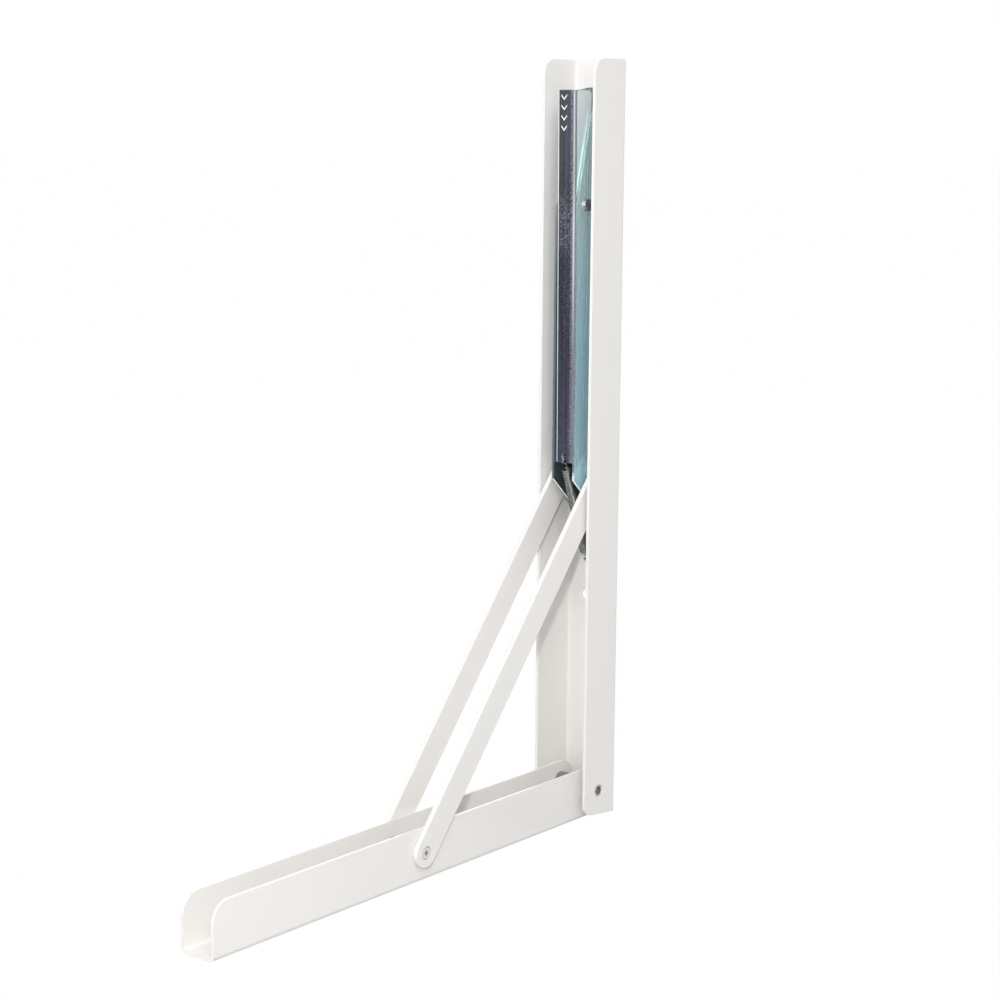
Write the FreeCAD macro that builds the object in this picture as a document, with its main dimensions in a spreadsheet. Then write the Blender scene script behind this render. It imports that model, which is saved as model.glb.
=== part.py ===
import FreeCAD, Part
import math
import os
import re
import Sketcher

# Folding shelf bracket, open. The wall leg lies along -X with its back on Z = 0, the shelf arm
# stands along +Z, and the origin is on the wall plane straight below the main pivot.
# Near means the -Y side, far the +Y side. Millimetres and degrees.

doc = FreeCAD.newDocument("FoldingShelfBracket")
sheet = doc.addObject("Spreadsheet::Sheet", "Sizes")

sizes = [
    # legs
    ("sheetGauge", 1.6, "steel sheet of both legs"),
    ("bendRadius", 3.0, "outside radius of their long bends"),
    ("armReach", 400, "length of the shelf arm"),
    ("armDepth", 28.6, "shelf arm, web to rims"),
    ("armPlay", 0.7, "its walls to the heads of the strut's upper rivets"),
    ("armTopRadius", 8, "rounded rims at the front end"),
    ("heelGap", 1.0, "arm's lower end above the wall"),
    ("heelRise", 3.2, "how far it slopes up to the rims"),
    ("heelRadius", 6.5, "rounded rims there"),
    ("pivotSetback", 16.05, "pivot to the arm's shelf face"),
    ("pivotHeight", 15.8, "pivot above the wall"),
    ("legReach", 283.3, "wall leg, pivot to free end"),
    ("legDepth", 27.4, "wall leg, back to rims"),
    ("legWidth", 20.7, "wall leg across"),
    ("legEndRadius", 10.5, "rounded rims at the free end"),
    ("noseGap", 2.15, "wall leg's end to the arm's web"),
    ("legNoseRadius", 11.5, "rounded rims at the pivot end"),
    # screw holes
    ("screwBore", 5.5, "screw holes"),
    ("screwSink", 7.5, "their countersinks"),
    ("wallScrewFirst", 35, "first wall screw from the pivot"),
    ("wallScrewLast", 23.3, "last wall screw from the leg's free end"),
    ("shelfScrewLow", 102, "lower shelf screw above the pivot"),
    ("shelfScrewHigh", 6.5, "upper shelf screw below the arm's end"),
    ("shelfScrewAside", 4.3, "shelf screws off the mid-plane, the lower to the far side"),
    # main pivot
    ("pivotBore", 7.0, "main pivot pin"),
    ("pivotPlay", 0.06, "running fit on every pivot, on the radius"),
    ("pivotSocket", 4.6, "hexagon socket across flats"),
    ("pivotSocketDepth", 3.2, "its depth"),
    ("pivotSink", 0.2, "pivot's ends below the arm's faces"),
    ("barrelEnd", 8.0, "barrel nut past the mid-plane"),
    ("screwCore", 5.0, "pivot screw's thread"),
    ("spacerOuter", 12.0, "pivot spacers and inner sleeve"),
    ("sideGap", 0.15, "play between flat faces that turn"),
    # strut, as long as folds away into the arm
    ("foldedSlider", 20.2, "slider below the arm's end when folded"),
    ("strutGauge", 2.6, "strut bars"),
    ("strutWidth", 14.8, "strut bars across"),
    ("strutGap", 0.25, "wall leg to strut bar"),
    ("footReach", 139.8, "main pivot to the strut's foot"),
    ("footDrop", 0.6, "foot below the main pivot"),
    ("footRivet", 5.0, "foot rivets"),
    ("footHead", 6.3, "foot rivets' outer heads"),
    ("footHeadHeight", 0.9, "their height"),
    ("footHeadPlay", 0.15, "counterbores in the bars over the heads, on the radius"),
    ("footSink", 1.2, "depth of the counterbores"),
    ("footEye", 2.4, "hollow in the heads"),
    ("footEyeDepth", 2.0, "its depth"),
    ("footClinch", 8.0, "formed heads inside the wall leg"),
    ("footClinchHeight", 1.2, "their height"),
    ("topRivet", 4.6, "strut's upper rivets"),
    ("topHead", 8.4, "their heads"),
    ("topHeadHeight", 1.2, "their height"),
    # guide channel
    ("guideGauge", 1.2, "guide channel's sheet"),
    ("guideBend", 1.8, "outside radius of its bends"),
    ("guideWidth", 14.3, "guide channel across"),
    ("guideRise", 27.6, "guide channel, web to rims"),
    ("guideBelow", 28.5, "its web's lower end below the open slider"),
    ("guideAbove", 6.2, "its upper end above the folded slider"),
    ("guideSlant", 42, "slope of its lower edge"),
    ("guideNose", 60.2, "full height up to here, from the upper end"),
    ("guideTip", 13.0, "top of the sloping edge, from the upper end"),
    ("guideNeckRise", 16.4, "rims there, above the web"),
    ("guideNeckRadius", 2.0, "rounding there"),
    ("guideStep", 1.8, "step from there up to the rims of the upper end"),
    ("guideTipRise", 13.9, "rims of the upper end, above the web"),
    ("guideTipDrop", 2.4, "their ends below the web's"),
    ("slotSetback", 5.0, "slot line beyond the pivot"),
    ("slotPlay", 0.1, "slot over the slider, each side"),
    ("travelSpare", 0.3, "slot beyond the slider's travel"),
    ("guideRivet", 4.0, "rivets that hold the guide channel"),
    ("guideRivetHead", 6.4, "their heads"),
    ("guideRivetHeight", 1.0, "their height"),
    ("guideRivetLow", 8.5, "lower rivet from the web's lower end"),
    ("guideRivetHigh", 17.2, "upper rivet from its upper end"),
    ("tongueWidth", 5.0, "tongue that holds the spring"),
    ("tongueDrop", 20.2, "tongue below the web's lower end"),
    ("tongueHook", 4.5, "its bent tab"),
    ("tongueEye", 2.0, "hole in the tab"),
    ("tongueEnd", 1.8, "it from the tab's end"),
    # slider
    ("sliderPin", 5.6, "slider pin"),
    ("sliderWasher", 9.4, "nylon washers between the guide channel and the strut bars"),
    # release lever
    ("leverGauge", 1.2, "release lever's sheet"),
    ("leverBend", 1.6, "outside radius of its bends"),
    ("leverPlay", 0.2, "release lever to the guide channel, each side"),
    ("leverDepth", 14.1, "its flanges"),
    ("leverCorner", 2.8, "rounded corners at the push end"),
    ("leverBelow", 1.8, "push end below the guide channel's upper end"),
    ("leverCatch", 5.3, "lower end above the open slider's axis"),
    ("leverTilt", 0.7, "its slope, at rest"),
    ("leverPivotIn", 8.93, "its face to its pivot"),
    ("leverPivotOut", 5.0, "lever pivot towards the rims"),
    ("leverPin", 4.0, "lever pin"),
    ("leverPinHead", 6.2, "its heads"),
    ("leverPinHeadHeight", 1.2, "their height"),
    ("leverEye", 3.2, "hole for the spring"),
    ("leverEyeUp", 3.3, "it above the lever's lower end"),
    # release spring
    ("springOuter", 5.6, "release spring"),
    ("springWire", 0.9, "its wire"),
    ("springEye", 2.6, "its upper eye, on the radius"),
    ("springLead", 1.2, "straight wire from the upper eye to the coils"),
    ("springTail", 2.2, "straight wire from the coils to the lower eye"),
    ("springPlay", 0.25, "its eyes to the holes' pulled edges"),
]

for row, (alias, value, note) in enumerate(sizes, start=1):
    sheet.set("A%d" % row, alias)
    sheet.set("B%d" % row, str(value))
    sheet.setAlias("B%d" % row, alias)
    sheet.set("C%d" % row, note)
doc.recompute()
aliases = re.compile(r"\b(%s)\b" % "|".join(alias for alias, value, note in sizes))

# places that several pieces share, worked out from the sheet
legSide = "(legWidth / 2 - sheetGauge)"
footHeight = "(pivotHeight - footDrop)"
strutInner = "(legWidth / 2 + strutGap)"
strutOuter = "(%s + strutGauge)" % strutInner
armTop = "(heelGap + armReach)"
armInner = "(pivotSetback - sheetGauge)"
armRim = "(pivotSetback - armDepth)"
armSide = "(%s + topHeadHeight + armPlay)" % strutOuter
armHalf = "(%s + sheetGauge)" % armSide
legNose = "(%s - noseGap)" % armInner
slotHigh = "(%s - foldedSlider)" % armTop
strutSpan = "sqrt((%s - pivotHeight - footReach) ^ 2 + (slotSetback + footDrop) ^ 2)" % slotHigh
strutAngle = "acos((footReach + slotSetback) / %s)" % strutSpan
slotLow = "(%s + sqrt(%s ^ 2 - (footReach + slotSetback) ^ 2))" % (footHeight, strutSpan)
guideSide = "(guideWidth / 2)"
guideInner = "(guideWidth / 2 - guideGauge)"
guideFloor = "(%s - guideGauge)" % armInner
guideRim = "(%s - guideRise)" % armInner
webLow = "(%s - guideBelow)" % slotLow
webHigh = "(%s + guideAbove)" % slotHigh
leverPivotZ = "(%s - guideNose)" % webHigh
leverUp = "(guideNose - leverBelow)"
leverDown = "(%s - %s - leverCatch)" % (leverPivotZ, slotLow)
leverHalf = "(%s - leverPlay)" % guideInner
tongueZ = "(%s - tongueDrop)" % webLow


def bound(text):
    """The text with every size's name turned into its cell."""
    return aliases.sub(r"Sizes.\1", str(text))


def worth(text):
    """What an expression comes to now."""
    found = sheet.evalExpression(bound(text))
    return float(getattr(found, "Value", found))


def tie(thing, prop, text):
    thing.setExpression(prop, bound(text))


def newBody(name):
    body = doc.addObject("PartDesign::Body", name)
    body.Label = name
    return body


def newSketch(body, name, plane):
    sketch = body.newObject("Sketcher::SketchObject", name)
    for feature in body.Origin.OriginFeatures:
        if feature.Role == plane:
            sketch.AttachmentSupport = [(feature, "")]
    sketch.MapMode = "FlatFace"
    return sketch


def fix(sketch, kind, geometry, point, text):
    """A distance from the sketch's origin, tied to the sheet."""
    number = sketch.addConstraint(Sketcher.Constraint(kind, -1, 1, geometry, point, worth(text)))
    tie(sketch, "Constraints[%d]" % number, text)


def outline(body, name, corners, plane="XZ_Plane"):
    """A closed outline of straight edges through corners given as pairs of expressions."""
    sketch = newSketch(body, name, plane)
    spots = [FreeCAD.Vector(worth(across), worth(up), 0) for across, up in corners]
    count = len(spots)
    for number in range(count):
        sketch.addGeometry(Part.LineSegment(spots[number], spots[(number + 1) % count]), False)
    for number in range(count):
        sketch.addConstraint(Sketcher.Constraint("Coincident", number, 2, (number + 1) % count, 1))
    for number, (across, up) in enumerate(corners):
        fix(sketch, "DistanceX", number, 1, across)
        fix(sketch, "DistanceY", number, 1, up)
    return sketch


def box(left, right, low, high):
    return [(left, low), (right, low), (right, high), (left, high)]


def circles(body, name, centres, diameter, plane="XZ_Plane"):
    sketch = newSketch(body, name, plane)
    for number, (across, up) in enumerate(centres):
        spot = FreeCAD.Vector(worth(across), worth(up), 0)
        sketch.addGeometry(Part.Circle(spot, FreeCAD.Vector(0, 0, 1), worth(diameter) / 2), False)
        size = sketch.addConstraint(Sketcher.Constraint("Diameter", number, worth(diameter)))
        tie(sketch, "Constraints[%d]" % size, diameter)
        fix(sketch, "DistanceX", number, 3, across)
        fix(sketch, "DistanceY", number, 3, up)
    return sketch


def pad(body, sketch, length, both=True):
    feature = body.newObject("PartDesign::Pad", sketch.Name + "Pad")
    feature.Profile = sketch
    feature.SideType = "Symmetric" if both else "One side"
    tie(feature, "Length", length)
    sketch.Visibility = False
    doc.recompute()
    return feature


def pocket(body, sketch, length, both=True, reverse=False):
    """A cut, checked against the volume it had before."""
    before = body.Shape.Volume
    feature = body.newObject("PartDesign::Pocket", sketch.Name + "Pocket")
    feature.Profile = sketch
    feature.SideType = "Symmetric" if both else "One side"
    feature.Reversed = reverse
    tie(feature, "Length", length)
    sketch.Visibility = False
    doc.recompute()
    if body.Shape.Volume >= before:
        raise RuntimeError(sketch.Name + " cuts nothing")
    return feature


def soften(body, name, radius, chosen, kind="Fillet"):
    """A fillet or chamfer on the edges of the body so far that chosen picks."""
    base = body.Tip
    picked = ["Edge%d" % (number + 1) for number, edge in enumerate(base.Shape.Edges) if chosen(edge)]
    if not picked:
        raise RuntimeError(name + " finds no edge")
    feature = body.newObject("PartDesign::" + kind, name)
    feature.Base = (base, picked)
    tie(feature, "Radius" if kind == "Fillet" else "Size", radius)
    doc.recompute()
    return feature


def near(value, text, slack=0.01):
    return abs(value - worth(text)) < slack


def straightAlong(edge, axis):
    if edge.Curve.TypeId != "Part::GeomLine":
        return False
    return abs(abs(getattr(edge.tangentAt(edge.FirstParameter), axis)) - 1) < 1e-6


def crossEdge(acrossX, upZ):
    """Picks the edges along Y at one place of the side view."""
    def chosen(edge):
        centre = edge.CenterOfMass
        return straightAlong(edge, "y") and near(centre.x, acrossX) and near(centre.z, upZ)
    return chosen


def longEdge(axis, level, place, half):
    """Picks a channel's long edges: axis runs along them, level is X or Z, half the distance from mid."""
    def chosen(edge):
        centre = edge.CenterOfMass
        if not straightAlong(edge, axis):
            return False
        return near(getattr(centre, level), place) and near(abs(centre.y), half)
    return chosen


def channel(body, name, corners, width, gauge, hollow):
    """A folded channel: the side outline over the whole width, less the space between its walls."""
    pad(body, outline(body, name + "Side", corners), width)
    pocket(body, outline(body, name + "Hollow", hollow), "%s - 2 * %s" % (width, gauge))


# the parts that are turned

def turned(name, diameter, start, end, place, hole=None):
    """A round piece along Y from start to end at the place (X, Z), with a bore if hole is given."""
    def cylinder(label, across):
        rod = doc.addObject("Part::Cylinder", label)
        tie(rod, "Radius", "(%s) / 2" % across)
        tie(rod, "Height", "(%s) - (%s)" % (end, start))
        rod.Placement = FreeCAD.Placement(FreeCAD.Vector(), FreeCAD.Rotation(FreeCAD.Vector(1, 0, 0), -90))
        tie(rod, "Placement.Base.x", place[0])
        tie(rod, "Placement.Base.y", start)
        tie(rod, "Placement.Base.z", place[1])
        return rod
    if hole is None:
        return cylinder(name, diameter)
    return less(name, cylinder(name + "Disc", diameter), cylinder(name + "Bore", hole))


def joined(name, pieces):
    """Pieces that were made in one, under the node's own name."""
    whole = doc.addObject("Part::MultiFuse", name)
    whole.Shapes = pieces
    whole.Refine = True
    whole.Label = name
    return whole


def less(name, base, tool):
    rest = doc.addObject("Part::Cut", name)
    rest.Base = base
    rest.Tool = tool
    rest.Label = name
    return rest


def mirrored(low, high, side):
    """A stretch of Y on the far side (side 1) or the near side (side -1)."""
    if side > 0:
        return low, high
    return "-(%s)" % high, "-(%s)" % low


sides = (("near", -1), ("far", 1))
nodes = []

# wall leg
leg = newBody("wall_leg")
channel(leg, "leg", box("-legReach", legNose, "0", "legDepth"), "legWidth", "sheetGauge",
        box("-legReach - 5", legNose + " + 5", "sheetGauge", "legDepth + 5"))
soften(leg, "legEndRound", "legEndRadius", crossEdge("-legReach", "legDepth"))
soften(leg, "legNoseRound", "legNoseRadius", crossEdge(legNose, "legDepth"))
soften(leg, "legBends", "bendRadius", longEdge("x", "z", "0", "legWidth / 2"))
soften(leg, "legInnerBends", "bendRadius - sheetGauge", longEdge("x", "z", "sheetGauge", legSide))
pocket(leg, circles(leg, "legPivot", [("0", "pivotHeight")], "pivotBore + 2 * pivotPlay"), "legWidth + 5")
pocket(leg, circles(leg, "legFoot", [("-footReach", footHeight)], "footRivet"), "legWidth + 5")
wallScrewPitch = "(legReach - wallScrewLast - wallScrewFirst) / 3"
wallScrews = [("-wallScrewFirst - %d * %s" % (number, wallScrewPitch), "0") for number in range(4)]
pocket(leg, circles(leg, "legScrews", wallScrews, "screwBore", "XY_Plane"), "4 * sheetGauge")
soften(leg, "legSinks", "min((screwSink - screwBore) / 2, sheetGauge * 0.9)",
       lambda edge: edge.Curve.TypeId == "Part::GeomCircle" and near(edge.CenterOfMass.z, "sheetGauge")
       and near(edge.Curve.Radius, "screwBore / 2"), "Chamfer")
nodes.append(leg)

# shelf arm
arm = newBody("shelf_arm")
armSideView = [(armRim, "heelGap + heelRise"), ("pivotSetback", "heelGap"),
               ("pivotSetback", armTop), (armRim, armTop)]
channel(arm, "arm", armSideView, "2 * " + armHalf, "sheetGauge",
        box(armRim + " - 5", armInner, "heelGap - 5", armTop + " + 5"))
soften(arm, "armHeel", "heelRadius", crossEdge(armRim, "heelGap + heelRise"))
soften(arm, "armTopRound", "armTopRadius", crossEdge(armRim, armTop))
soften(arm, "armBends", "bendRadius", longEdge("z", "x", "pivotSetback", armHalf))
soften(arm, "armInnerBends", "bendRadius - sheetGauge", longEdge("z", "x", armInner, armSide))
pocket(arm, circles(arm, "armPivot", [("0", "pivotHeight")], "pivotBore"), "2 * %s + 5" % armHalf)
shelfScrews = [("shelfScrewAside", "pivotHeight + shelfScrewLow"),
               ("-shelfScrewAside", armTop + " - shelfScrewHigh")]
guideRivets = [("0", webLow + " + guideRivetLow"), ("0", webHigh + " - guideRivetHigh")]
pocket(arm, circles(arm, "armScrews", shelfScrews, "screwBore", "YZ_Plane"), "2 * pivotSetback + 5")
pocket(arm, circles(arm, "armRivets", guideRivets, "guideRivet", "YZ_Plane"), "2 * pivotSetback + 5")
soften(arm, "armSinks", "min((screwSink - screwBore) / 2, sheetGauge * 0.9)",
       lambda edge: edge.Curve.TypeId == "Part::GeomCircle" and near(edge.CenterOfMass.x, armInner)
       and near(edge.Curve.Radius, "screwBore / 2"), "Chamfer")
nodes.append(arm)

# guide channel with its slots, and the tongue that holds the spring
guide = newBody("guide_channel")
guideSideView = [
    (armInner, webLow),
    (armInner, webHigh),
    (armInner + " - guideTipRise", webHigh + " - guideTipDrop"),
    (armInner + " - guideTipRise", webHigh + " - guideTip + guideStep"),
    (armInner + " - guideNeckRise", webHigh + " - guideTip"),
    (guideRim, leverPivotZ),
    (guideRim, webLow + " + guideRise * tan(guideSlant * 1 deg)"),
]
channel(guide, "guide", guideSideView, "guideWidth", "guideGauge",
        box(guideRim + " - 5", guideFloor, webLow + " - 5", webHigh + " + 5"))
soften(guide, "guideNeck", "guideNeckRadius",
       crossEdge(armInner + " - guideNeckRise", webHigh + " - guideTip"))
soften(guide, "guideBends", "guideBend", longEdge("z", "x", armInner, guideSide))
soften(guide, "guideInnerBends", "guideBend - guideGauge", longEdge("z", "x", guideFloor, guideInner))
tongueSide = [
    (armInner, tongueZ),
    (armInner, webLow + " + guideBend"),
    (guideFloor, webLow + " + guideBend"),
    (guideFloor, tongueZ + " + guideGauge"),
    (guideFloor + " - tongueHook", tongueZ + " + guideGauge"),
    (guideFloor + " - tongueHook", tongueZ),
]
pad(guide, outline(guide, "tongueSide", tongueSide), "tongueWidth")
slotHalf = "(sliderPin / 2 + slotPlay)"
slotSide = box("slotSetback - " + slotHalf, "slotSetback + " + slotHalf,
               slotLow + " - %s" % slotHalf, slotHigh + " + %s + travelSpare" % slotHalf)
pocket(guide, outline(guide, "guideSlot", slotSide), "guideWidth + 5")
soften(guide, "slotEnds", slotHalf + " * 0.98",
       lambda edge: straightAlong(edge, "y") and abs(edge.CenterOfMass.x - worth("slotSetback"))
       < worth(slotHalf) + 0.01 and near(edge.Length, "guideGauge"))
pocket(guide, circles(guide, "guidePivot", [("-leverPivotOut", leverPivotZ)], "leverPin"), "guideWidth + 5")
pocket(guide, circles(guide, "guideRivetHoles", guideRivets, "guideRivet", "YZ_Plane"),
       "2 * pivotSetback + 5")
tongueHole = "(%s - tongueHook + tongueEnd)" % guideFloor
pocket(guide, circles(guide, "tongueEyeHole", [(tongueHole, "0")], "tongueEye", "XY_Plane"),
       "2 * (%s - guideGauge - 1)" % webLow)
nodes.append(guide)

rivets = []
for number in range(2):
    # along X: a shank through both webs, flush with the shelf face, and a head inside the channel
    for part, diameter, start, end in (("Shank", "guideRivet", guideFloor, "pivotSetback"),
                                       ("Head", "guideRivetHead", guideFloor + " - guideRivetHeight",
                                        guideFloor)):
        rod = doc.addObject("Part::Cylinder", "guideRivet%s%d" % (part, number + 1))
        tie(rod, "Radius", "(%s) / 2" % diameter)
        tie(rod, "Height", "(%s) - (%s)" % (end, start))
        rod.Placement = FreeCAD.Placement(FreeCAD.Vector(), FreeCAD.Rotation(FreeCAD.Vector(0, 1, 0), 90))
        tie(rod, "Placement.Base.x", start)
        tie(rod, "Placement.Base.z", guideRivets[number][1])
        rivets.append(rod)
nodes.append(joined("guide_rivets", rivets))

# release lever, drawn about its own pivot and then tilted
lever = newBody("release_lever")
leverFace = "(-leverPivotIn)"
leverBack = "(leverDepth - leverPivotIn)"
channel(lever, "lever", box(leverFace, leverBack, "-" + leverDown, leverUp), "2 * " + leverHalf, "leverGauge",
        box(leverFace + " + leverGauge", leverBack + " + 5", "-%s - 5" % leverDown, leverUp + " + 5"))
soften(lever, "leverCorners", "leverCorner", crossEdge(leverBack, leverUp))
soften(lever, "leverBends", "leverBend", longEdge("z", "x", leverFace, leverHalf))
soften(lever, "leverInnerBends", "leverBend - leverGauge",
       longEdge("z", "x", leverFace + " + leverGauge", leverHalf + " - leverGauge"))
pocket(lever, circles(lever, "leverPivot", [("0", "0")], "leverPin + 2 * pivotPlay"),
       "2 * %s + 5" % leverHalf)
pocket(lever, circles(lever, "leverEyeHole", [("0", "leverEyeUp - " + leverDown)], "leverEye", "YZ_Plane"),
       "2 * leverPivotIn + 5")
lever.Placement = FreeCAD.Placement(FreeCAD.Vector(), FreeCAD.Rotation(FreeCAD.Vector(0, 1, 0), -1))
tie(lever, "Placement.Rotation.Angle", "-leverTilt * 1 deg")
tie(lever, "Placement.Base.x", "-leverPivotOut")
tie(lever, "Placement.Base.z", leverPivotZ)
nodes.append(lever)

leverSpot = ("-leverPivotOut", leverPivotZ)
leverPinParts = [turned("leverPinShank", "leverPin", "-%s" % guideSide, guideSide, leverSpot)]
for side, sign in sides:
    start, end = mirrored(guideSide, guideSide + " + leverPinHeadHeight", sign)
    leverPinParts.append(turned("leverPinHead_" + side, "leverPinHead", start, end, leverSpot))
nodes.append(joined("lever_pin", leverPinParts))

# slider: a plain pin through both slots, with a washer from each flange to the strut bar beside it
sliderSpot = ("slotSetback", slotLow)
washerStart = "(%s + sideGap)" % guideSide
washerEnd = "(%s - sideGap)" % strutInner
nodes.append(turned("slider_pin", "sliderPin", "-" + washerEnd, washerEnd, sliderSpot))
for side, sign in sides:
    start, end = mirrored(washerStart, washerEnd, sign)
    nodes.append(turned("slider_washer_" + side, "sliderWasher", start, end, sliderSpot, hole="sliderPin"))

# strut bars, drawn along +X from the foot and then turned up to the strut's angle
def strutOutline(body):
    sketch = newSketch(body, "strutSide", "XZ_Plane")
    length, half = worth(strutSpan), worth("strutWidth / 2")
    up = FreeCAD.Vector(0, 0, 1)
    foot, head = FreeCAD.Vector(0, 0, 0), FreeCAD.Vector(length, 0, 0)
    quarter = math.pi / 2
    sketch.addGeometry(Part.ArcOfCircle(Part.Circle(foot, up, half), quarter, 3 * quarter), False)
    sketch.addGeometry(Part.ArcOfCircle(Part.Circle(head, up, half), -quarter, quarter), False)
    low, high = FreeCAD.Vector(0, -half, 0), FreeCAD.Vector(0, half, 0)
    sketch.addGeometry(Part.LineSegment(low, low + head), False)
    sketch.addGeometry(Part.LineSegment(high + head, high), False)
    for first, firstEnd, second, secondEnd in ((0, 2, 2, 1), (2, 2, 1, 1), (1, 2, 3, 1), (3, 2, 0, 1)):
        sketch.addConstraint(Sketcher.Constraint("Tangent", first, firstEnd, second, secondEnd))
    sketch.addConstraint(Sketcher.Constraint("Coincident", 0, 3, -1, 1))
    sketch.addConstraint(Sketcher.Constraint("Horizontal", 2))
    fix(sketch, "DistanceX", 1, 3, strutSpan)
    radius = sketch.addConstraint(Sketcher.Constraint("Radius", 0, half))
    tie(sketch, "Constraints[%d]" % radius, "strutWidth / 2")
    return sketch


for side, sign in sides:
    bar = newBody("strut_bar_" + side)
    pad(bar, strutOutline(bar), "strutGauge", both=False)
    pocket(bar, circles(bar, "strutFootHole", [("0", "0")], "footRivet + 2 * pivotPlay"), "3 * strutGauge")
    pocket(bar, circles(bar, "strutTopHole", [(strutSpan, "0")], "topRivet"), "3 * strutGauge")
    # the counterbore is on the outer face: the sketch plane on the far bar, the pad's end on the near
    sunk = circles(bar, "strutFootSink", [("0", "0")], "footHead + 2 * footHeadPlay")
    if sign < 0:
        tie(sunk, "AttachmentOffset.Base.z", "strutGauge")
    pocket(bar, sunk, "footSink", both=False, reverse=sign > 0)
    turn = FreeCAD.Rotation(FreeCAD.Vector(0, 1, 0), -1)
    bar.Placement = FreeCAD.Placement(FreeCAD.Vector(), turn)
    tie(bar, "Placement.Rotation.Angle", "-" + strutAngle)
    tie(bar, "Placement.Base.x", "-footReach")
    tie(bar, "Placement.Base.y", strutOuter if sign > 0 else "-%s" % strutInner)
    tie(bar, "Placement.Base.z", footHeight)
    nodes.append(bar)

for side, sign in sides:
    start, end = mirrored(strutInner, strutOuter, sign)
    shank = turned("topRivetShank_" + side, "topRivet", start, end, sliderSpot)
    start, end = mirrored(strutOuter, strutOuter + " + topHeadHeight", sign)
    head = turned("topRivetHead_" + side, "topHead", start, end, sliderSpot)
    nodes.append(joined("strut_top_rivet_" + side, [shank, head]))

footSpot = ("-footReach", footHeight)
for side, sign in sides:
    headStart = "(%s - footSink + sideGap / 2)" % strutOuter
    headEnd = headStart + " + footHeadHeight"
    start, end = mirrored(legSide, headStart, sign)
    pieces = [turned("footShank_" + side, "footRivet", start, end, footSpot)]
    start, end = mirrored(headStart, headEnd, sign)
    pieces.append(turned("footHead_" + side, "footHead", start, end, footSpot))
    start, end = mirrored(legSide + " - footClinchHeight", legSide, sign)
    pieces.append(turned("footClinch_" + side, "footClinch", start, end, footSpot))
    start, end = mirrored(headEnd + " - footEyeDepth", headEnd, sign)
    hollow = turned("footEye_" + side, "footEye", start, end, footSpot)
    nodes.append(less("strut_foot_rivet_" + side, joined("footBlank_" + side, pieces), hollow))

# main pivot: a barrel nut from the near side, its screw from the far side, spacers and a sleeve
pivotSpot = ("0", "pivotHeight")
pivotEnd = "(%s - pivotSink)" % armHalf
barrel = turned("barrelBody", "pivotBore", "-" + pivotEnd, "barrelEnd", pivotSpot)
thread = turned("barrelThread", "screwCore", "-barrelEnd", "barrelEnd", pivotSpot)


def socket(name, place, start, length):
    """A hexagon socket along Y."""
    prism = doc.addObject("Part::Prism", name)
    prism.Polygon = 6
    tie(prism, "Circumradius", "pivotSocket / sqrt(3)")
    tie(prism, "Height", length)
    prism.Placement = FreeCAD.Placement(FreeCAD.Vector(), FreeCAD.Rotation(FreeCAD.Vector(1, 0, 0), -90))
    tie(prism, "Placement.Base.x", place[0])
    tie(prism, "Placement.Base.y", start)
    tie(prism, "Placement.Base.z", place[1])
    return prism


bored = less("barrelBored", barrel, thread)
nearSocket = socket("barrelSocket", pivotSpot, "-" + pivotEnd, "pivotSocketDepth")
nodes.append(less("pivot_barrel", bored, nearSocket))
screwHead = turned("pivotScrewHead", "pivotBore", "barrelEnd", pivotEnd, pivotSpot)
screwThread = turned("pivotScrewThread", "screwCore", "-barrelEnd / 2", "barrelEnd", pivotSpot)
screwBlank = joined("pivotScrewBlank", [screwHead, screwThread])
farSocket = socket("screwSocket", pivotSpot, pivotEnd + " - pivotSocketDepth", "pivotSocketDepth")
nodes.append(less("pivot_screw", screwBlank, farSocket))
for side, sign in sides:
    start, end = mirrored("legWidth / 2 + sideGap", armSide, sign)
    nodes.append(turned("pivot_spacer_" + side, "spacerOuter", start, end, pivotSpot, hole="pivotBore"))
nodes.append(turned("pivot_sleeve", "spacerOuter", "-%s" % legSide, legSide, pivotSpot,
                    hole="pivotBore + 2 * pivotPlay"))

# release spring: the close-wound body by its outside, and at each end a straight lead bent into an
# open eye, whose wire is drawn with six sides and bent in short straight steps
doc.recompute()
eyeSteps = 12
eyeSweep = 300


def hook(centre, radius, wire, along, lead):
    """The wire from inside the coils to the eye at the centre and round it; along points to the coils."""
    across = FreeCAD.Vector(0, 1, 0).cross(along)
    path = [centre + along * (radius + lead)]
    for step in range(eyeSteps + 1):
        turn = math.radians(eyeSweep * step / eyeSteps)
        path.append(centre + along * (radius * math.cos(turn)) + across * (radius * math.sin(turn)))
    corners = []
    for side in range(7):
        turn = math.radians(60 * side)
        aside = FreeCAD.Vector(0, wire * math.sin(turn), 0)
        corners.append(path[0] + across * (wire * math.cos(turn)) + aside)
    return Part.makePolygon(path).makePipeShell([Part.makePolygon(corners)], True, False, 1)


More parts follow.
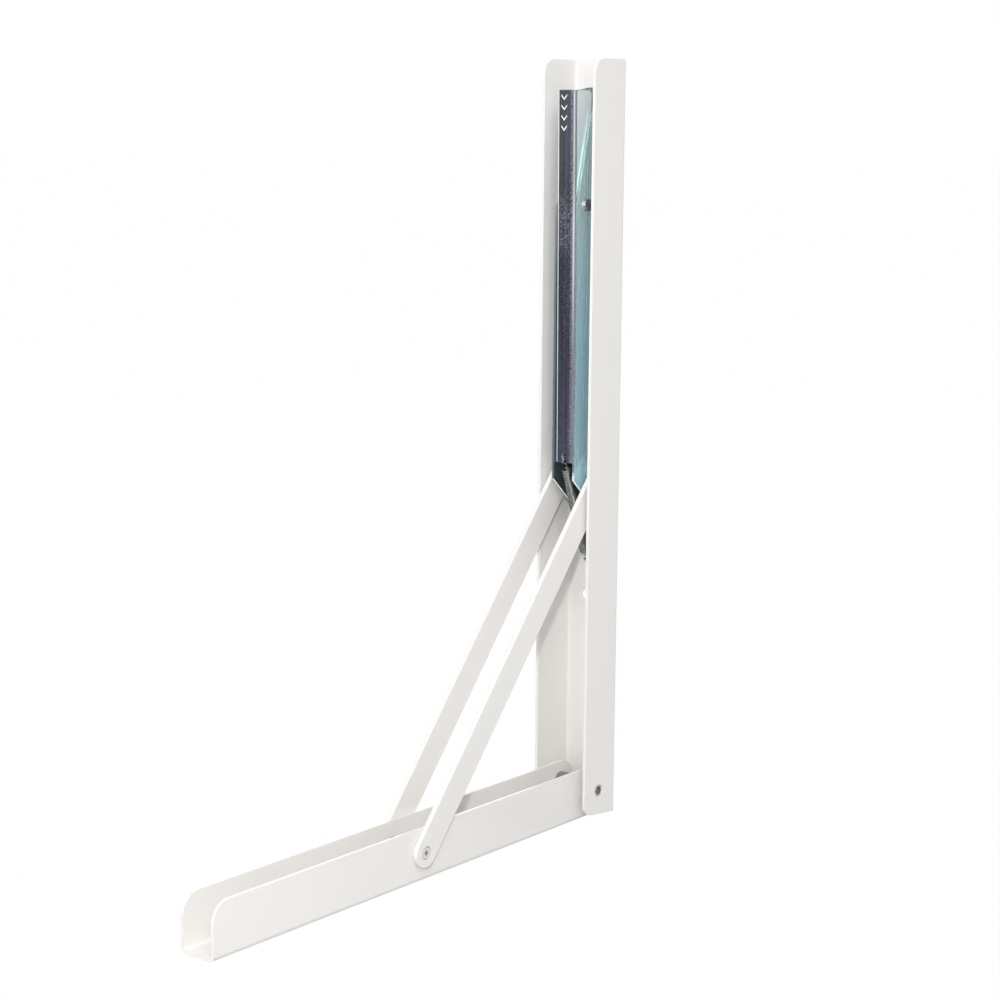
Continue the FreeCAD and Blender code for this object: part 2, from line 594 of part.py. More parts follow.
def springShape():
    tilt = math.radians(worth("leverTilt"))
    wire = worth("springWire") / 2
    outer = worth("springOuter") / 2
    upperEye, lowerEye = worth("springEye"), worth("tongueEnd - springWire / 2")
    # each eye pulls on the edge of its hole: the lower edge on the lever, the outer one on the tab
    drop = worth(leverDown + " - leverEyeUp + (leverEye - springWire) / 2 - springPlay + springEye")
    reach = worth("(tongueEye - springWire) / 2 - springPlay") + lowerEye
    faceMid = worth("leverPivotIn - leverGauge / 2")
    pivot = FreeCAD.Vector(-worth("leverPivotOut"), 0, worth(leverPivotZ))
    top = pivot + FreeCAD.Vector(drop * math.sin(tilt) - faceMid * math.cos(tilt), 0,
                                 -drop * math.cos(tilt) - faceMid * math.sin(tilt))
    foot = FreeCAD.Vector(worth(tongueHole) - reach, 0, worth(tongueZ + " + guideGauge / 2"))
    along = (foot - top).normalize()
    first = top + along * (upperEye + worth("springLead"))
    last = foot - along * (lowerEye + worth("springTail"))
    coils = Part.makeCylinder(outer, (last - first).Length, first, along)
    return coils.multiFuse([
        hook(top, upperEye, wire, along, worth("springLead") + wire),
        hook(foot, lowerEye, wire, along * -1, worth("springTail") + wire)])


spring = doc.addObject("Part::Feature", "release_spring")
spring.Shape = springShape()
spring.Label = "release_spring"
nodes.append(spring)

doc.recompute()
for thing in doc.Objects:
    if "Invalid" in thing.State or "Error" in thing.State:
        raise RuntimeError("%s failed: %s" % (thing.Label, thing.State))
for node in nodes:
    if node.Shape.isNull() or not node.Shape.isValid() or not node.Shape.Solids:
        raise RuntimeError(node.Label + " has no valid solid")

os.makedirs("parts", exist_ok=True)
for node in nodes:
    node.Shape.exportStep("parts/%s.step" % node.Label)
    print("%-24s %8.1f mm3, %d solids" % (node.Label, node.Shape.Volume, len(node.Shape.Solids)))
print("slider %.2f to %.2f, strut %.2f" % (worth(slotLow), worth(slotHigh), worth(strutSpan)))
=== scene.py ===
import math

import bpy
from mathutils import Matrix, Vector


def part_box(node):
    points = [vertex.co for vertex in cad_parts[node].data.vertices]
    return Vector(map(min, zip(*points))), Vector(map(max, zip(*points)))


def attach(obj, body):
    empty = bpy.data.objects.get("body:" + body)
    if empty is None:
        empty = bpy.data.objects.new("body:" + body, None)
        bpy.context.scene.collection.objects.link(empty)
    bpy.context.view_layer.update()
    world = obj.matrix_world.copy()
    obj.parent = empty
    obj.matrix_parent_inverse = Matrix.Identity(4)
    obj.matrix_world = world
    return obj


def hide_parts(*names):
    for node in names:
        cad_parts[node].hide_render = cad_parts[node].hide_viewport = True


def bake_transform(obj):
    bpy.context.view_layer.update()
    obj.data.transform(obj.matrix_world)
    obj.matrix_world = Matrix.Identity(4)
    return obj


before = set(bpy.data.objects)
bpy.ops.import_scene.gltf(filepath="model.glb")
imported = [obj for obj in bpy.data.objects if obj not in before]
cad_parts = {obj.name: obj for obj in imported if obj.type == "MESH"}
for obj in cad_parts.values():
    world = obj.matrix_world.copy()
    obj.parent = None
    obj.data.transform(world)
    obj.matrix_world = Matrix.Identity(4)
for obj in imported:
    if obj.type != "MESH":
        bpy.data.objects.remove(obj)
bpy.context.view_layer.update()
mm = 0.001
print("frame loaded,", len(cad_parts), "nodes")


def letGo():
    bpy.ops.object.select_all(action="DESELECT")


def pickOnly(piece):
    letGo()
    piece.select_set(True)
    bpy.context.view_layer.objects.active = piece


def at(place):
    return Vector(place) * mm


# camera, at the photo's angle
shot = {
    "place": (-960.34, -691.93, 360.4),
    "ahead": (0.78074, 0.60459, -0.15785),
    "up": (0.11941, 0.10360, 0.98742),
    "lens": 81.46,
    "sensor": 36,
    "farthest": 400,  # in metres, past the floor's edge
}


def makeCamera():
    bpy.ops.object.camera_add(location=at(shot["place"]))
    camera = bpy.context.object
    camera.name = "photoCamera"
    ahead = Vector(shot["ahead"]).normalized()
    side = ahead.cross(Vector(shot["up"])).normalized()
    rise = side.cross(ahead)
    camera.rotation_euler = Matrix((side, rise, -ahead)).transposed().to_euler()
    camera.data.lens = shot["lens"]
    camera.data.sensor_width = shot["sensor"]
    camera.data.clip_end = shot["farthest"]
    bpy.context.scene.camera = camera


makeCamera()
print("camera placed")


# shader helpers
def newMaterial(name):
    material = bpy.data.materials.new(name)
    material.use_nodes = True
    return material, material.node_tree, material.node_tree.nodes["Principled BSDF"]


def addNode(tree, kind, **values):
    node = tree.nodes.new(kind)
    for key, value in values.items():
        if hasattr(node, key):
            setattr(node, key, value)
        else:
            node.inputs[key].default_value = value
    return node


def newGroup(name, inputs, outputs):
    group = bpy.data.node_groups.new(name, "ShaderNodeTree")
    for label, kind, value in inputs:
        socket = group.interface.new_socket(label, in_out="INPUT", socket_type=kind)
        socket.default_value = value
    for label, kind in outputs:
        group.interface.new_socket(label, in_out="OUTPUT", socket_type=kind)
    return group, group.nodes.new("NodeGroupInput"), group.nodes.new("NodeGroupOutput")


def useGroup(tree, group, **values):
    node = tree.nodes.new("ShaderNodeGroup")
    node.node_tree = group
    for key, value in values.items():
        node.inputs[key].default_value = value
    return node


def spreadOut(tree, source, low, high):
    reach = addNode(tree, "ShaderNodeMapRange")
    reach.inputs["From Min"].default_value = low
    reach.inputs["From Max"].default_value = high
    tree.links.new(source, reach.inputs["Value"])
    return reach.outputs["Result"]


# how much of each noise's range is spread out to the full range
spreads = {"streak": (0.32, 0.68), "cloud": (0.35, 0.65), "crystal": (0.42, 0.66)}


# a fine skin, as orange peel on powder coat or a moulded surface
def makeSkinGroup():
    group, came, goes = newGroup(
        "fineSkin",
        [("Scale", "NodeSocketFloat", 900.0), ("Drift", "NodeSocketFloat", 9.0)],
        [("Height", "NodeSocketFloat"), ("Tone", "NodeSocketFloat")])
    place = group.nodes.new("ShaderNodeTexCoord")
    fine = addNode(group, "ShaderNodeTexNoise", Detail=2.0, Roughness=0.5)
    wide = addNode(group, "ShaderNodeTexNoise", Detail=2.0, Roughness=0.5)
    for noise, size in ((fine, "Scale"), (wide, "Drift")):
        group.links.new(place.outputs["Object"], noise.inputs["Vector"])
        group.links.new(came.outputs[size], noise.inputs["Scale"])
    group.links.new(fine.outputs["Fac"], goes.inputs["Height"])
    group.links.new(wide.outputs["Fac"], goes.inputs["Tone"])
    return group


# rolled or drawn marks, drawn out along the axis with the least stretch
def makeStreakGroup():
    group, came, goes = newGroup(
        "rolledStreaks",
        [("Stretch", "NodeSocketVector", (1.0, 1.0, 0.02)), ("Scale", "NodeSocketFloat", 700.0)],
        [("Streak", "NodeSocketFloat"), ("Height", "NodeSocketFloat")])
    place = group.nodes.new("ShaderNodeTexCoord")
    squeeze = addNode(group, "ShaderNodeVectorMath", operation="MULTIPLY")
    lines = addNode(group, "ShaderNodeTexNoise", Detail=4.0, Roughness=0.6)
    group.links.new(place.outputs["Object"], squeeze.inputs[0])
    group.links.new(came.outputs["Stretch"], squeeze.inputs[1])
    group.links.new(squeeze.outputs["Vector"], lines.inputs["Vector"])
    group.links.new(came.outputs["Scale"], lines.inputs["Scale"])
    streak = spreadOut(group, lines.outputs["Fac"], *spreads["streak"])
    group.links.new(streak, goes.inputs["Streak"])
    group.links.new(lines.outputs["Fac"], goes.inputs["Height"])
    return group


# the slow clouds of colour in a passivated zinc plating, and its fine crystals
def makePlatingGroup():
    group, came, goes = newGroup(
        "passivatedZinc",
        [("Cloud Scale", "NodeSocketFloat", 22.0), ("Crystal Scale", "NodeSocketFloat", 1500.0)],
        [("Cloud", "NodeSocketFloat"), ("Crystal", "NodeSocketFloat")])
    place = group.nodes.new("ShaderNodeTexCoord")
    cloud = addNode(group, "ShaderNodeTexNoise", Detail=3.0, Roughness=0.55, Distortion=0.6)
    crystal = addNode(group, "ShaderNodeTexNoise", Detail=3.0, Roughness=0.7)
    for noise, size in ((cloud, "Cloud Scale"), (crystal, "Crystal Scale")):
        group.links.new(place.outputs["Object"], noise.inputs["Vector"])
        group.links.new(came.outputs[size], noise.inputs["Scale"])
    clouded = spreadOut(group, cloud.outputs["Fac"], *spreads["cloud"])
    sparkled = spreadOut(group, crystal.outputs["Fac"], *spreads["crystal"])
    group.links.new(clouded, goes.inputs["Cloud"])
    group.links.new(sparkled, goes.inputs["Crystal"])
    return group


skin = makeSkinGroup()
streaks = makeStreakGroup()
plating = makePlatingGroup()


def roughBetween(tree, source, shader, low, high):
    reach = addNode(tree, "ShaderNodeMapRange")
    reach.inputs["To Min"].default_value = low
    reach.inputs["To Max"].default_value = high
    tree.links.new(source, reach.inputs["Value"])
    tree.links.new(reach.outputs["Result"], shader.inputs["Roughness"])


def bumpFrom(tree, source, shader, strength, depth):
    bump = addNode(tree, "ShaderNodeBump", Strength=strength, Distance=depth * mm)
    tree.links.new(source, bump.inputs["Height"])
    tree.links.new(bump.outputs["Normal"], shader.inputs["Normal"])


def blendTones(tree, share, first, second, kind="MIX"):
    blend = addNode(tree, "ShaderNodeMix", data_type="RGBA", blend_type=kind)
    for socket, tone in (("A", first), ("B", second)):
        if isinstance(tone, tuple):
            blend.inputs[socket].default_value = (*tone, 1)
        else:
            tree.links.new(tone, blend.inputs[socket])
    if isinstance(share, float):
        blend.inputs["Factor"].default_value = share
    else:
        tree.links.new(share, blend.inputs["Factor"])
    return blend.outputs["Result"]


def scaled(tree, source, factor):
    times = addNode(tree, "ShaderNodeMath", operation="MULTIPLY")
    times.inputs[1].default_value = factor
    tree.links.new(source, times.inputs[0])
    return times.outputs[0]


# stops are (place in mm, colour) from low to high
def rampOver(tree, source, stops):
    ramp = addNode(tree, "ShaderNodeValToRGB")
    low, high = stops[0][0], stops[-1][0]
    tree.links.new(spreadOut(tree, source, low * mm, high * mm), ramp.inputs["Fac"])
    points = ramp.color_ramp.elements
    for number, (level, tone) in enumerate(stops):
        share = (level - low) / (high - low)
        if number in (0, len(stops) - 1):
            point = points[0 if number == 0 else -1]
            point.position = share
        else:
            point = points.new(share)
        point.color = (*tone, 1)
    return ramp.outputs["Color"]


def toneAlong(tree, axis, stops):
    place = addNode(tree, "ShaderNodeTexCoord")
    parts = addNode(tree, "ShaderNodeSeparateXYZ")
    tree.links.new(place.outputs["Object"], parts.inputs[0])
    return rampOver(tree, parts.outputs[axis], stops)


def shareAlong(tree, axis, stops):
    return toneAlong(tree, axis, [(level, (value, value, value)) for level, value in stops])


coatLook = {
    "pale": (0.862, 0.842, 0.818),
    "paler": (0.892, 0.876, 0.856),
    "driftScale": 11,
    "rough": (0.34, 0.42),
    "ior": 1.5,
    "peelScale": 950,
    "peelStrength": 0.12,
    "peelDepth": 0.02,
}


def makePowderCoat():
    look = coatLook
    material, tree, shader = newMaterial("powderCoat")
    peel = useGroup(tree, skin, Scale=look["peelScale"], Drift=look["driftScale"])
    tone = blendTones(tree, peel.outputs["Tone"], look["pale"], look["paler"])
    tree.links.new(tone, shader.inputs["Base Color"])
    roughBetween(tree, peel.outputs["Height"], shader, *look["rough"])
    bumpFrom(tree, peel.outputs["Height"], shader, look["peelStrength"], look["peelDepth"])
    shader.inputs["IOR"].default_value = look["ior"]
    return material


# the marks that rolling left on every plated face
rolledLook = {"stretch": (1, 1, 0.015), "scale": 560, "share": 0.2, "strength": 0.10, "depth": 0.04}

# plated finishes: tones by height in mm, with clouds and crystals over them; most are copies of one
# zinc, made lighter or darker per face as painted light, shade and reflection
zincLooks = {
    # painted light by side: the near outer face takes this bright teal copy, graded by height
    "guideNearLit": {
        "stops": [(160, (0.70, 0.92, 0.95)), (230, (0.56, 0.88, 0.95)),
                  (300, (0.66, 0.92, 0.97)), (340, (0.74, 0.95, 0.95))],
        "cloud": (0.72, 0.78, 0.94), "cloudShare": 0.4, "cloudScale": 26,
        "crystal": (0.80, 0.92, 0.95), "crystalShare": 0.10,
        "rough": (0.18, 0.30), "metallic": 0.7,
    },
    # the far and back faces take this greyer copy of the same zinc, as painted shade
    "guideFarShaded": {
        "stops": [(160, (0.60, 0.68, 0.70)), (340, (0.62, 0.70, 0.71))],
        "cloud": (0.66, 0.70, 0.76), "cloudShare": 0.4, "cloudScale": 26,
        "crystal": (0.72, 0.80, 0.82), "crystalShare": 0.10,
        "rough": (0.22, 0.34), "metallic": 0.85,
    },
    # the guide's inner faces and near bevels: the same zinc made dark, as painted shade
    "guideInsideShade": {
        "stops": [(150, (0.34, 0.44, 0.47)), (200, (0.15, 0.21, 0.24)), (340, (0.20, 0.26, 0.29))],
        "cloud": (0.18, 0.30, 0.30), "cloudShare": 0.4, "cloudScale": 40,
        "crystal": (0.30, 0.36, 0.39), "crystalShare": 0.3,
        "rough": (0.28, 0.42), "metallic": 0.85,
    },
    # cut edges: a painted highlight from 178 to 186 mm along the sloping lower edge, and painted
    # shade on the cut edges above it
    "cutEdgeGlintAndShade": {
        "stops": [(178, (0.95, 0.95, 0.99)), (186, (0.95, 0.95, 0.99)), (189, (0.11, 0.14, 0.16)),
                  (260, (0.12, 0.16, 0.18)), (334, (0.20, 0.26, 0.27))],
        "cloud": (0.16, 0.21, 0.24), "cloudShare": 0.25, "cloudScale": 60,
        "crystal": (0.52, 0.62, 0.64), "crystalShare": 0.4,
        "rough": (0.25, 0.4), "metallic": 0.4,
    },
    # the tip's bevelled cut edges, near-white: painted highlight
    "tipGlint": {
        "stops": [(334, (0.86, 0.92, 0.94)), (385, (0.92, 0.97, 0.97))],
        "cloud": (0.86, 0.92, 0.95), "cloudShare": 0.3, "cloudScale": 60,
        "crystal": (0.95, 0.98, 0.98), "crystalShare": 0.2,
        "rough": (0.3, 0.45), "metallic": 0.2,
    },
    # the flat core of the tip's cut edges, between the highlights: painted shade
    "tipCoreShade": {
        "stops": [(334, (0.30, 0.36, 0.36)), (385, (0.34, 0.42, 0.42))],
        "cloud": (0.26, 0.33, 0.34), "cloudShare": 0.3, "cloudScale": 60,
        "crystal": (0.5, 0.58, 0.58), "crystalShare": 0.3,
        "rough": (0.3, 0.45), "metallic": 0.5,
    },
    # the far cut edges, darker than the near ones: painted shade
    "farEdgeShade": {
        "stops": [(180, (0.12, 0.14, 0.15)), (260, (0.13, 0.19, 0.19)), (335, (0.26, 0.25, 0.24))],
        "cloud": (0.10, 0.14, 0.15), "cloudShare": 0.4, "cloudScale": 80,
        "crystal": (0.30, 0.33, 0.34), "crystalShare": 0.2,
        "rough": (0.3, 0.45), "metallic": 0.8,
    },
    # the lever's flanges: pale zinc tones, raised and graded by height to stand in for the bright
    # surroundings they reflect, as painted reflection
    "leverFlangeReflection": {
        "stops": [(200, (0.50, 0.80, 0.72)), (327, (0.58, 0.90, 0.80)), (350, (0.72, 0.93, 0.92)),
                  (368, (0.84, 0.93, 0.97)), (381, (0.90, 0.97, 0.97)), (384, (0.85, 0.92, 0.88)),
                  (385.6, (0.72, 0.66, 0.64))],
        "cloud": (0.80, 0.88, 0.97), "cloudShare": 0.3, "cloudScale": 34,
        "crystal": (0.92, 0.96, 0.97), "crystalShare": 0.08,
        "rough": (0.16, 0.26), "metallic": 0.4,
    },
    # the near bend: dark tones graded by height that hold down its reflection, as painted shade
    "leverBend": {
        "stops": [(190, (0.13, 0.14, 0.18)), (250, (0.18, 0.20, 0.25)), (290, (0.36, 0.39, 0.43)),
                  (320, (0.36, 0.41, 0.42)), (340, (0.24, 0.27, 0.27)), (386, (0.25, 0.28, 0.28))],
        "cloud": (0.30, 0.32, 0.36), "cloudShare": 0.2, "cloudScale": 60,
        "crystal": (0.30, 0.32, 0.36), "crystalShare": 0.3,
        "rough": (0.34, 0.46), "metallic": 0.7,
    },
    # the far bend: near-white and not metallic, a painted highlight
    "leverFarBendGlint": {
        "stops": [(190, (0.66, 0.72, 0.86)), (250, (0.74, 0.82, 0.93)),
                  (330, (0.95, 0.96, 0.98)), (386, (0.97, 0.97, 0.99))],
        "cloud": (0.90, 0.90, 0.97), "cloudShare": 0.2, "cloudScale": 60,
        "crystal": (0.80, 0.80, 0.88), "crystalShare": 0.2,
        "rough": (0.2, 0.34), "metallic": 0.0,
    },
}


def makePlating(name):
    look = zincLooks[name]
    material, tree, shader = newMaterial(name)
    plated = useGroup(tree, plating, **{"Cloud Scale": look["cloudScale"]})
    rolled = useGroup(tree, streaks, Stretch=rolledLook["stretch"], Scale=rolledLook["scale"])
    tone = toneAlong(tree, "Z", look["stops"])
    cloudShare = scaled(tree, plated.outputs["Cloud"], look["cloudShare"])
    tone = blendTones(tree, cloudShare, tone, look["cloud"])
    crystalShare = scaled(tree, plated.outputs["Crystal"], look["crystalShare"])
    tone = blendTones(tree, crystalShare, tone, look["crystal"])
    tone = blendTones(tree, rolledLook["share"], tone, rolled.outputs["Streak"], "OVERLAY")
    tree.links.new(tone, shader.inputs["Base Color"])
    roughBetween(tree, rolled.outputs["Streak"], shader, *look["rough"])
    bumpFrom(tree, rolled.outputs["Height"], shader, rolledLook["strength"], rolledLook["depth"])
    shader.inputs["Metallic"].default_value = look["metallic"]
    return material


# the lever's face, grey to the far side and violet to the near side, tones across in mm: the violet
# cast is the plating's tint, the darkness is a painted reflection of dark surroundings
leverDarkReflectionLook = {
    "upper": [(-4.5, (0.105, 0.098, 0.150)), (0.2, (0.098, 0.096, 0.135)),
              (1.2, (0.078, 0.082, 0.088)), (5.0, (0.082, 0.086, 0.088))],
    "lower": [(-4.8, (0.110, 0.096, 0.140)), (-3.2, (0.085, 0.078, 0.115)),
              (-1.5, (0.062, 0.056, 0.092)), (1.5, (0.048, 0.049, 0.080)),
              (5.0, (0.050, 0.054, 0.074))],
    "turn": [(318, 0), (342, 1)],  # from lower to upper, by height
    # painted light and shade: the face's tones scaled by height, full at the bottom, about a third
    # near 300 mm, about 0.6 at the top
    "depth": [(190, (0.95, 1.0, 1.04)), (226, (0.70, 0.74, 0.80)), (252, (0.50, 0.52, 0.58)),
              (277, (0.40, 0.43, 0.46)), (302, (0.34, 0.38, 0.36)), (325, (0.36, 0.38, 0.38)),
              (345, (0.58, 0.60, 0.59)), (386, (0.58, 0.60, 0.59))],
    # crystal mottle and specks, kept to the band and the near edge where the reflection is
    # speckled: part grain, part painted reflection
    "mottleAndSheen": (0.24, 0.24, 0.30),
    "mottleAndSheenBand": [(260, 0.22), (300, 0.30), (308, 0.85), (322, 0.85), (338, 0.16)],
    "specksAndGlints": (0.46, 0.48, 0.52),
    "specksAndGlintsRim": [(-4.9, 0.85), (-3.7, 0.75), (-2.6, 0)],
    "specksAndGlintsShare": 0.7,
    "cloudScale": 55,
    "crystalScale": 1250,
    "stretch": (1, 1, 0.012),
    "streakScale": 640,
    "streakShare": 0.3,
    "strength": 0.08,
    "dent": 0.03,
    "rough": (0.24, 0.40),
    "metallic": 0.85,
}


def makeLeverDarkReflection():
    look = leverDarkReflectionLook
    material, tree, shader = newMaterial("leverDarkReflection")
    plated = useGroup(tree, plating, **{"Cloud Scale": look["cloudScale"],
                                        "Crystal Scale": look["crystalScale"]})
    rolled = useGroup(tree, streaks, Stretch=look["stretch"], Scale=look["streakScale"])
    crystal = plated.outputs["Crystal"]
    upper = toneAlong(tree, "Y", look["upper"])
    lower = toneAlong(tree, "Y", look["lower"])
    tone = blendTones(tree, shareAlong(tree, "Z", look["turn"]), lower, upper)
    tone = blendTones(tree, 1.0, tone, toneAlong(tree, "Z", look["depth"]), "MULTIPLY")
    mottleAndSheenShare = addNode(tree, "ShaderNodeMath", operation="MULTIPLY")
    tree.links.new(crystal, mottleAndSheenShare.inputs[0])
    tree.links.new(shareAlong(tree, "Z", look["mottleAndSheenBand"]), mottleAndSheenShare.inputs[1])
    tone = blendTones(tree, mottleAndSheenShare.outputs[0], tone, look["mottleAndSheen"])
    specksAndGlints = blendTones(tree, 1.0, crystal, shareAlong(tree, "Y", look["specksAndGlintsRim"]), "MULTIPLY")
    tone = blendTones(tree, scaled(tree, specksAndGlints, look["specksAndGlintsShare"]), tone, look["specksAndGlints"])
    tone = blendTones(tree, look["streakShare"], tone, rolled.outputs["Streak"], "OVERLAY")
    tree.links.new(tone, shader.inputs["Base Color"])
    roughBetween(tree, rolled.outputs["Streak"], shader, *look["rough"])
    bumpFrom(tree, crystal, shader, look["strength"], look["dent"])
    shader.inputs["Metallic"].default_value = look["metallic"]
    return material


# turning marks run round the pins, whose axes all lie along Y
turningLook = {"stretch": (0.3, 1, 0.3), "scale": 1400, "strength": 0.15, "depth": 0.03}

steelLooks = {
    "pinSteel": {"dark": (0.27, 0.25, 0.23), "light": (0.46, 0.44, 0.41),
                 "rough": (0.25, 0.4), "metallic": 0.95},
    "paleSteel": {"dark": (0.46, 0.44, 0.42), "light": (0.64, 0.62, 0.60),
                  "rough": (0.22, 0.34), "metallic": 0.85},
    "springWire": {"dark": (0.15, 0.16, 0.155), "light": (0.36, 0.37, 0.36),
                   "rough": (0.25, 0.38), "metallic": 0.95},
    "brightMark": {"dark": (0.82, 0.83, 0.86), "light": (0.96, 0.97, 0.98),
                   "rough": (0.3, 0.45), "metallic": 0.4},
}


def turningMarks(tree):
    return useGroup(tree, streaks, Stretch=turningLook["stretch"], Scale=turningLook["scale"])


def makeSteel(name):
    look = steelLooks[name]
    material, tree, shader = newMaterial(name)
    turned = turningMarks(tree)
    tone = blendTones(tree, turned.outputs["Streak"], look["dark"], look["light"])
    tree.links.new(tone, shader.inputs["Base Color"])
    roughBetween(tree, turned.outputs["Streak"], shader, *look["rough"])
    bumpFrom(tree, turned.outputs["Height"], shader, turningLook["strength"], turningLook["depth"])
    shader.inputs["Metallic"].default_value = look["metallic"]
    return material


# foot rivet: a pale face with painted shade in its hollow and a painted shadow ring at its rim, by
# the distance in mm from its axis
shadedRivetLook = {
    "axis": (-139.8, 0, 15.2),
    "stops": [(0, (0.16, 0.15, 0.14)), (0.9, (0.22, 0.21, 0.20)), (1.15, (0.66, 0.65, 0.63)),
              (2.4, (0.80, 0.79, 0.77)), (2.9, (0.66, 0.65, 0.63)), (3.15, (0.22, 0.21, 0.20)),
              (4.0, (0.14, 0.13, 0.12))],
    "streakShare": 0.15,
    "strength": 0.12,
    "rough": (0.35, 0.5),
    "metallic": 0.5,
}


def makeShadedRivetHead():
    look = shadedRivetLook
    material, tree, shader = newMaterial("shadedRivetHead")
    turned = turningMarks(tree)
    place = addNode(tree, "ShaderNodeTexCoord")
    offset = addNode(tree, "ShaderNodeVectorMath", operation="SUBTRACT")
    offset.inputs[1].default_value = at(look["axis"])
    across = addNode(tree, "ShaderNodeVectorMath", operation="MULTIPLY")
    across.inputs[1].default_value = (1, 0, 1)
    reach = addNode(tree, "ShaderNodeVectorMath", operation="LENGTH")
    tree.links.new(place.outputs["Object"], offset.inputs[0])
    tree.links.new(offset.outputs["Vector"], across.inputs[0])
    tree.links.new(across.outputs["Vector"], reach.inputs[0])
    tone = rampOver(tree, reach.outputs["Value"], look["stops"])
    tone = blendTones(tree, look["streakShare"], tone, turned.outputs["Streak"], "OVERLAY")
    tree.links.new(tone, shader.inputs["Base Color"])
    roughBetween(tree, turned.outputs["Streak"], shader, *look["rough"])
    bumpFrom(tree, turned.outputs["Height"], shader, look["strength"], turningLook["depth"])
    shader.inputs["Metallic"].default_value = look["metallic"]
    return material


nylonLook = {
    "dull": (0.72, 0.70, 0.64),
    "clear": (0.78, 0.76, 0.71),
    "driftScale": 60,
    "grainScale": 1300,
    "strength": 0.12,
    "depth": 0.02,
    "rough": (0.42, 0.55),
}


def makeNylon():
    look = nylonLook
    material, tree, shader = newMaterial("nylon")
    grain = useGroup(tree, skin, Scale=look["grainScale"], Drift=look["driftScale"])
    tone = blendTones(tree, grain.outputs["Tone"], look["dull"], look["clear"])
    tree.links.new(tone, shader.inputs["Base Color"])
    roughBetween(tree, grain.outputs["Height"], shader, *look["rough"])
    bumpFrom(tree, grain.outputs["Height"], shader, look["strength"], look["depth"])
    return material


powderCoat = makePowderCoat()
zinc = {name: makePlating(name) for name in zincLooks}
leverDarkReflection = makeLeverDarkReflection()
steel = {name: makeSteel(name) for name in steelLooks}
shadedRivetHead = makeShadedRivetHead()
nylon = makeNylon()
print("materials made")


# sheet pieces: the CAD mesh merged, with its cut edges broken by so many mm, as on real sheet
sheetWork = {
    "wall_leg": {"edge": 0.28, "steps": 2, "body": "wall", "slot": "powder_coat"},
    "shelf_arm": {"edge": 0.28, "steps": 2, "body": "arm", "slot": "powder_coat"},
    "strut_bar_near": {"edge": 0.30, "steps": 2, "body": "strut", "slot": "powder_coat"},
    "strut_bar_far": {"edge": 0.30, "steps": 2, "body": "strut", "slot": "powder_coat"},
    "guide_channel": {"edge": 0.46, "steps": 1, "body": "arm", "slot": "zinc_plate"},
    "release_lever": {"edge": 0.15, "steps": 2, "body": "lever", "slot": "zinc_plate"},
}

# lengths in mm, angles in degrees
sheetCare = {"merge": 0.002, "flatWithin": 0.5, "edgeFrom": 50, "smoothBelow": 48}


def workSheet(node, work):
    piece = bpy.data.objects.new(node + "_worked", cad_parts[node].data.copy())
    bpy.context.scene.collection.objects.link(piece)
    pickOnly(piece)
    bpy.ops.mesh.customdata_custom_splitnormals_clear()
    bpy.ops.object.mode_set(mode="EDIT")
    bpy.ops.mesh.select_all(action="SELECT")
    bpy.ops.mesh.remove_doubles(threshold=sheetCare["merge"] * mm)
    bpy.ops.mesh.dissolve_limited(angle_limit=math.radians(sheetCare["flatWithin"]))
    bpy.ops.object.mode_set(mode="OBJECT")
    bevel = piece.modifiers.new("brokenEdge", "BEVEL")
    bevel.width = work["edge"] * mm
    bevel.segments = work["steps"]
    bevel.limit_method = "ANGLE"
    bevel.angle_limit = math.radians(sheetCare["edgeFrom"])
    bevel.use_clamp_overlap = True
    bpy.ops.object.modifier_apply(modifier=bevel.name)
    bpy.ops.object.shade_smooth_by_angle(angle=math.radians(sheetCare["smoothBelow"]))
    flat = piece.modifiers.new("flatFaces", "WEIGHTED_NORMAL")
    flat.weight = 100
    flat.keep_sharp = True
    bpy.ops.object.modifier_apply(modifier=flat.name)
    piece.data.materials.clear()
    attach(piece, work["body"])
    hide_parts(node)
    return piece


def coat(piece):
    piece.data.materials.append(powderCoat)


# which painted copy each face of the lever takes: the dark reflection on the front, the pale
# reflection on the flanges, painted shade and highlight on the bends; facings are parts of a unit
# normal, depths in mm
leverZones = {"frontFacing": 0.995, "turned": 0.02, "bendDepth": 1.7}


def plateLever(piece):
    for look in (zinc["leverFlangeReflection"], leverDarkReflection, zinc["leverBend"], zinc["leverFarBendGlint"]):
        piece.data.materials.append(look)
    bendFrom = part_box("release_lever")[1].y - leverZones["bendDepth"] * mm
    for face in piece.data.polygons:
        turn, spot = face.normal, face.center
        rounded = turn.x < -leverZones["turned"] and abs(turn.y) > leverZones["turned"]
        if turn.x < -leverZones["frontFacing"]:
            face.material_index = 1
        elif rounded and abs(spot.y) > bendFrom:
            face.material_index = 2 if spot.y < 0 else 3


# which painted copy each face of the guide channel takes: a lit near outer face, shaded far and
# inner faces, cut edges with painted highlights and shade; as for the lever, heights and gauges in
# mm
guideZones = {
    "gauge": 1.2,
    "slack": 0.06,
    "floorSlack": 0.8,
    "tip": 334,
    "facing": 0.9,
    "backFacing": 0.3,
    "rimFacing": 0.2,
}


